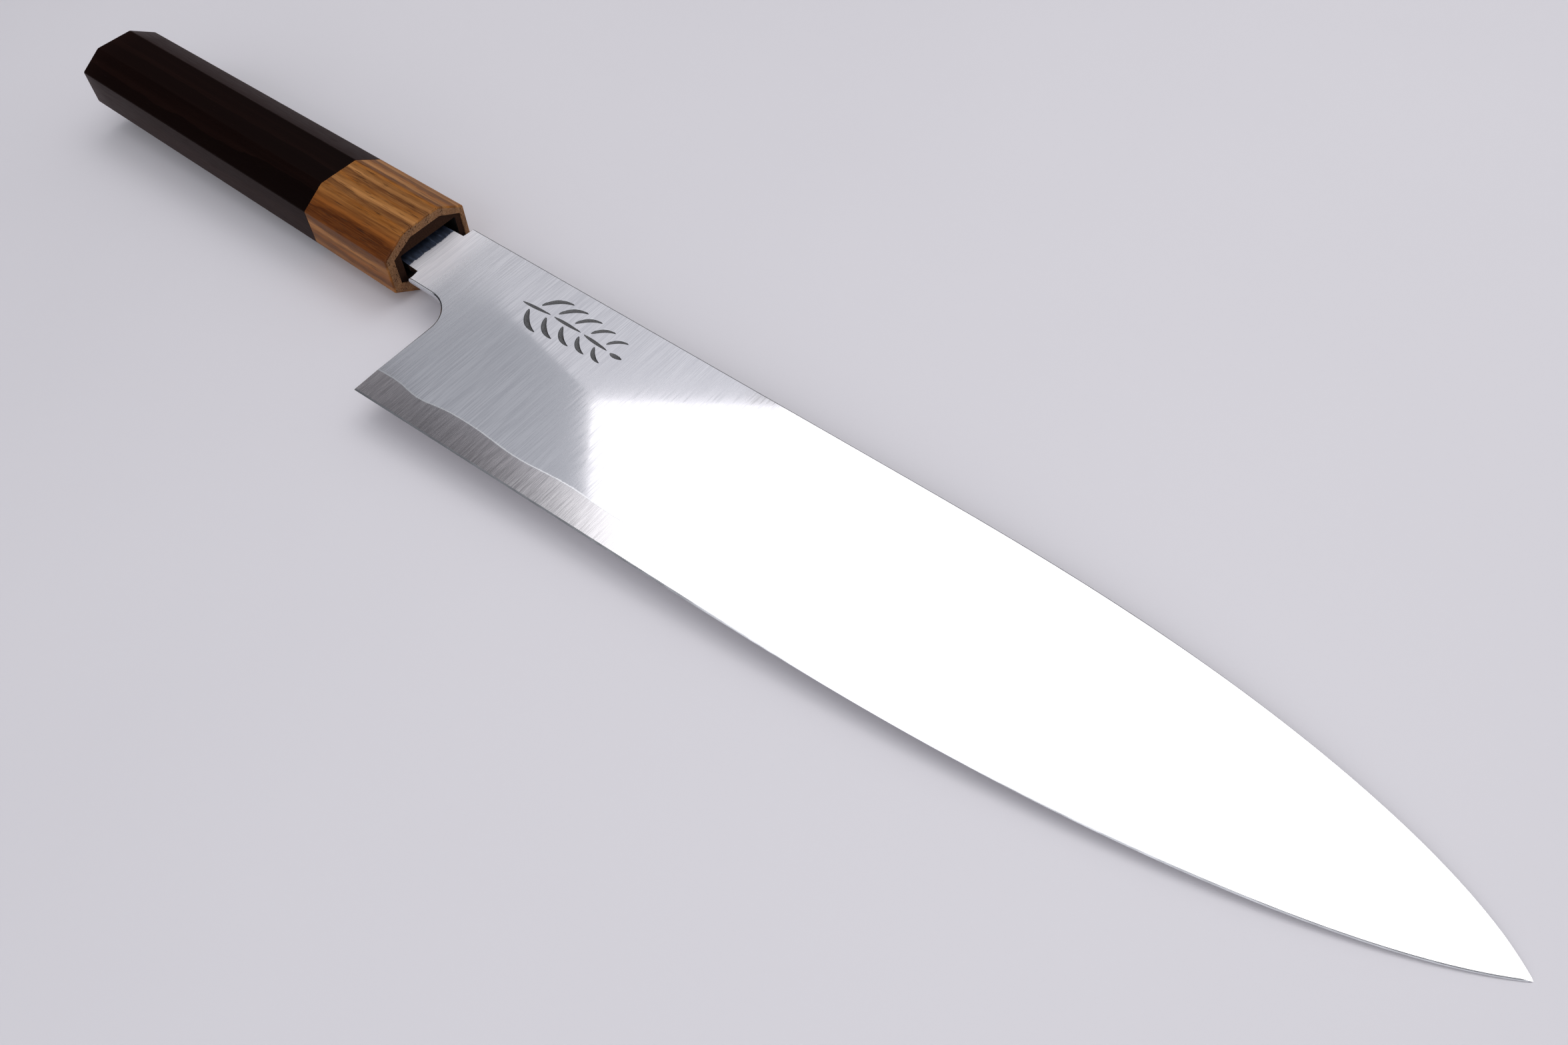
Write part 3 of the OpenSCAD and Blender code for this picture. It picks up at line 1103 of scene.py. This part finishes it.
def dark_streaks(look, place):
    """Near-black wood with faint reddish rings and streaks."""
    year = rings(look, place, (60, -38), 5.2)
    streak = look.noise(look.stretch(place, (0.02, 1, 1)), 0.55, 4.0, 0.6)
    both = look.maths("ADD", look.maths("MULTIPLY", year, 0.35), look.maths("MULTIPLY", streak, 0.65))
    return look.ramp(both, [(0.3, (0.0006, 0.0003, 0.0002)), (0.48, (0.0012, 0.0005, 0.0004)),
                            (0.62, (0.0028, 0.0011, 0.0008)), (0.8, (0.006, 0.0024, 0.0018))])


def dark_speckle(look, place):
    """Matt brown cut ends, with painted shadow: the tenon's lower half, under the tang, is painted near
    black.
    """
    speckle = look.noise(place, 3.0, 4.0, 0.7)
    tone = look.ramp(speckle, [(0.3, (0.016, 0.0075, 0.0045)), (0.7, (0.046, 0.022, 0.013))])
    where = look.split(place)
    # Painted shadow of the tang and neck: the tenon face is darkened below the tang, and not at the butt.
    below = look.ranged(where["Z"], -3.6, -0.8, 0.9, 0.0)
    char_and_shade = look.maths("MULTIPLY", below, look.ranged(where["X"], -40.0, -20.0))
    return look.mix(char_and_shade, tone, (0.002, 0.0015, 0.0012))


def dark_wood_look(name, end_grain):
    """Near-black oiled wood, with a faint warm sheen where it is seen at a slant."""
    look = Look(name)
    place = look.place()
    tone = dark_speckle(look, place) if end_grain else dark_streaks(look, place)
    fibre = look.noise(look.stretch(place, (0.04, 1, 1)), 5.0, 3.0, 0.6)
    tiny = pores(look, place, 2.4, 0.2, 0.2, 0.4, (2, 9, 4))
    look.set(Base_Color=look.mix(look.maths("MULTIPLY", tiny, 0.7), tone, (0.001, 0.0006, 0.0005)))
    look.set(Roughness=0.75 if end_grain else look.ranged(fibre, 0.3, 0.7, 0.3, 0.42))
    height = look.maths("SUBTRACT", look.maths("MULTIPLY", fibre, 0.15), tiny)
    look.set(Normal=look.bump(height, 2.5e-5, 0.7))
    look.set(Specular_IOR_Level=0.03)
    look.set(Sheen_Weight=0.08, Sheen_Roughness=0.45, Sheen_Tint=(0.85, 0.36, 0.3, 1.0))
    return look.material


def char_and_shade_look(name):
    """The burnt-in walls of the tang slot, painted near black: char, and painted shade deep in the slot."""
    look = Look(name)
    char_and_shade = look.noise(look.place(), 2.5, 4.0, 0.7)
    # Painted shade on top of the char: the walls are made near black.
    look.set(Base_Color=look.ramp(char_and_shade, [(0.3, (0.002, 0.0018, 0.0016)), (0.75, (0.012, 0.01, 0.009))]))
    look.set(Roughness=0.95, Normal=look.bump(char_and_shade, 2e-4))
    look.set(Specular_IOR_Level=0.1)
    return look.material


def adhesive_look(name):
    """Cured adhesive, lumpy and yellowish."""
    look = Look(name)
    place = look.node("TexCoord", {}).outputs["Object"]
    lumps = look.noise(place, 900.0, 3.0)
    look.set(Base_Color=look.ramp(lumps, [(0.3, (0.12, 0.1, 0.07)), (0.7, (0.3, 0.26, 0.19))]))
    look.set(Roughness=look.ranged(lumps, 0.3, 0.7, 0.5, 0.7), Normal=look.bump(lumps, 1e-4))
    return look.material


def worktop_look(name):
    """Plain pale worktop with the faintest cloudiness."""
    look = Look(name)
    place = look.node("TexCoord", {}).outputs["Object"]
    cloud = look.noise(place, 5.0, 4.0)
    look.set(Base_Color=look.mix(cloud, (0.71, 0.695, 0.735), (0.77, 0.755, 0.79)))
    look.set(Roughness=look.ranged(cloud, 0.3, 0.7, 0.42, 0.5))
    return look.material


# ---------------- the pieces


def add_line_distance(mesh):
    """Height above the cladding line, in millimetres, for the pale seam there. It is far off on the tang
    and beyond the claddings."""
    made = mesh.attributes.new("above_line", "FLOAT", "POINT")
    for vertex, item in zip(mesh.vertices, made.data):
        x, y, _ = vertex.co
        clad = 0 < x < CLAD_REACH + 0.01
        item.value = y - line_y(max(x, CHOIL_X)) if clad else 99.0


def build_blade():
    clad = steel_look("cladding_steel", (0.82, 0.81, 0.84), (0.655, 0.65, 0.685), (0.03, 0.1),
                      (4.5, 0.02, 0.5))
    # The core's last colour paints its bare band darker near the heel: painted shade for the darker
    # reflection there.
    core = steel_look("core_steel", (0.9, 0.88, 0.9), (0.74, 0.72, 0.74), (0.18, 0.13),
                      (5.5, 0.03, 0.6), (0.6, 0.58, 0.59))
    rim = polished_look("polished_steel", (0.62, 0.63, 0.66))
    hidden = polished_look("hidden_steel", (0.4, 0.4, 0.42))
    # The spine's steel is given a much darker colour than the rim's: painted shade for the dark reflection
    # along the spine.
    spine = polished_look("spine_steel_painted_dark", (0.26, 0.26, 0.275))
    narrow = [rim, hidden, spine]
    right = carve(cladding_mesh("cladding_right_skin", 1), sprig_cutter())
    left = cladding_mesh("cladding_left_skin", -1)
    sheet = core_mesh("core_skin")
    for mesh in (right, left, sheet):
        add_line_distance(mesh)
    layers = [clad, *narrow, groove_look("groove_steel")]
    lay_down(right, "right_cladding", "cladding_right", layers, clad_z)
    lay_down(left, "left_cladding", "cladding_left", layers, clad_z)
    lay_down(sheet, "core_sheet", "blade_core", [core, *narrow], band_z)


def build_handle():
    honey = [honey_wood_look("honey_wood", False), honey_wood_look("honey_end_grain", True)]
    dark = [dark_wood_look("dark_wood", False), dark_wood_look("dark_end_grain", True)]
    dark.append(char_and_shade_look("charred_slot_and_shade"))
    lay_down(ferrule_mesh("ferrule_skin"), "wood_ferrule", "ferrule", honey)
    lay_down(handle_mesh("handle_skin"), "dark_handle", "handle_body", dark)
    bedding = frame["nodes"]["tang_bedding"]
    bedding.data.materials.clear()
    bedding.data.materials.append(adhesive_look("cured_adhesive"))


# ---------------- worktop, light and camera


WORKTOP_REACH = 3.0
SOFTBOX_SIZE = (1.0, 0.85)
SOFTBOX_TURN = math.radians(39)
SOFTBOX_CORNER = Vector((-0.646, 0.497, 1.0))


def worktop():
    mesh = bpy.data.meshes.new("worktop")
    corners = [(x * WORKTOP_REACH, y * WORKTOP_REACH, 0) for x, y in ((-1, -1), (1, -1), (1, 1), (-1, 1))]
    mesh.from_pydata(corners, [], [(0, 1, 2, 3)])
    mesh.materials.append(worktop_look("pale_worktop"))
    floor = bpy.data.objects.new("worktop", mesh)
    bpy.context.scene.collection.objects.link(floor)


def lamp(name, centre, size, turn, radiance, colour):
    """A soft rectangular lamp. Unturned it faces straight down, and turn is its Euler rotation."""
    light = bpy.data.lights.new(name, "AREA")
    light.shape = "RECTANGLE"
    light.size, light.size_y = size
    light.energy = radiance * math.pi * size[0] * size[1]
    light.color = colour
    item = bpy.data.objects.new(name, light)
    item.location = centre
    item.rotation_euler = turn
    bpy.context.scene.collection.objects.link(item)


def softbox():
    """The white reflection that fills most of the blade. One corner of it shows just below the sprig."""
    width, depth = SOFTBOX_SIZE
    to_centre = Vector((width / 2, -depth / 2, 0))
    to_centre.rotate(Matrix.Rotation(SOFTBOX_TURN, 3, "Z"))
    centre = SOFTBOX_CORNER + to_centre
    lamp("softbox", centre, SOFTBOX_SIZE, (0, 0, SOFTBOX_TURN), 1.5, (1.0, 0.985, 0.99))


def fill_lamps():
    """Dim panels for the grey reflections near the heel, and two fills that soften the shadows."""
    turn = math.radians(-11)
    tilt = math.radians(63)
    lamp("ceiling_bounce", (-0.352, 1.885, 1.3), (4.0, 2.6), (0, 0, turn), 0.24, (1.0, 0.97, 0.98))
    lamp("grey_panel", (-0.83, 0.62, 1.0), (0.66, 0.55), (0, 0, 0), 0.28, (0.88, 0.92, 1.0))
    lamp("overhead_fill", (0.45, -0.55, 1.3), (1.8, 1.4), (0, 0, 0), 0.68, (0.98, 0.97, 1.0))
    lamp("front_fill", (0.2, -1.6, 0.9), (4.2, 1.4), (tilt, 0, 0), 0.85, (0.98, 0.97, 1.0))


def surroundings(dim, bright):
    """A plain room that is dim low down behind the handle and brighter everywhere else. The way a ray
    goes is compared with the direction towards the tip and up."""
    world = bpy.data.worlds.new("studio")
    world.use_nodes = True
    tree = world.node_tree
    way = tree.nodes.new("ShaderNodeTexCoord").outputs["Generated"]
    dot = tree.nodes.new("ShaderNodeVectorMath")
    dot.operation = "DOT_PRODUCT"
    dot.inputs[1].default_value = (1.0, 0.0, 0.5)
    tree.links.new(way, dot.inputs[0])
    fade = tree.nodes.new("ShaderNodeMapRange")
    for socket, value in (("From Min", -0.42), ("From Max", 0.0), ("To Min", dim), ("To Max", bright)):
        fade.inputs[socket].default_value = value
    tree.links.new(dot.outputs["Value"], fade.inputs["Value"])
    background = tree.nodes["Background"]
    background.inputs["Color"].default_value = (0.93, 0.95, 1.0, 1)
    tree.links.new(fade.outputs[0], background.inputs["Strength"])
    bpy.context.scene.world = world


def camera(location, turn, lens):
    """The photograph's viewing angle. turn is in degrees."""
    data = bpy.data.cameras.new("camera")
    data.lens, data.sensor_width = lens, 36.0
    data.clip_start = 0.01
    item = bpy.data.objects.new("camera", data)
    item.location = location
    item.rotation_euler = [math.radians(a) for a in turn]
    bpy.context.scene.collection.objects.link(item)
    bpy.context.scene.camera = item


build_blade()
build_handle()
worktop()
softbox()
fill_lamps()
surroundings(0.04, 0.36)
camera((0.1448, -0.1127, 0.2085), (36.86, 2.34, 38.05), 29.14)
bpy.context.scene.view_settings.view_transform = "Standard"
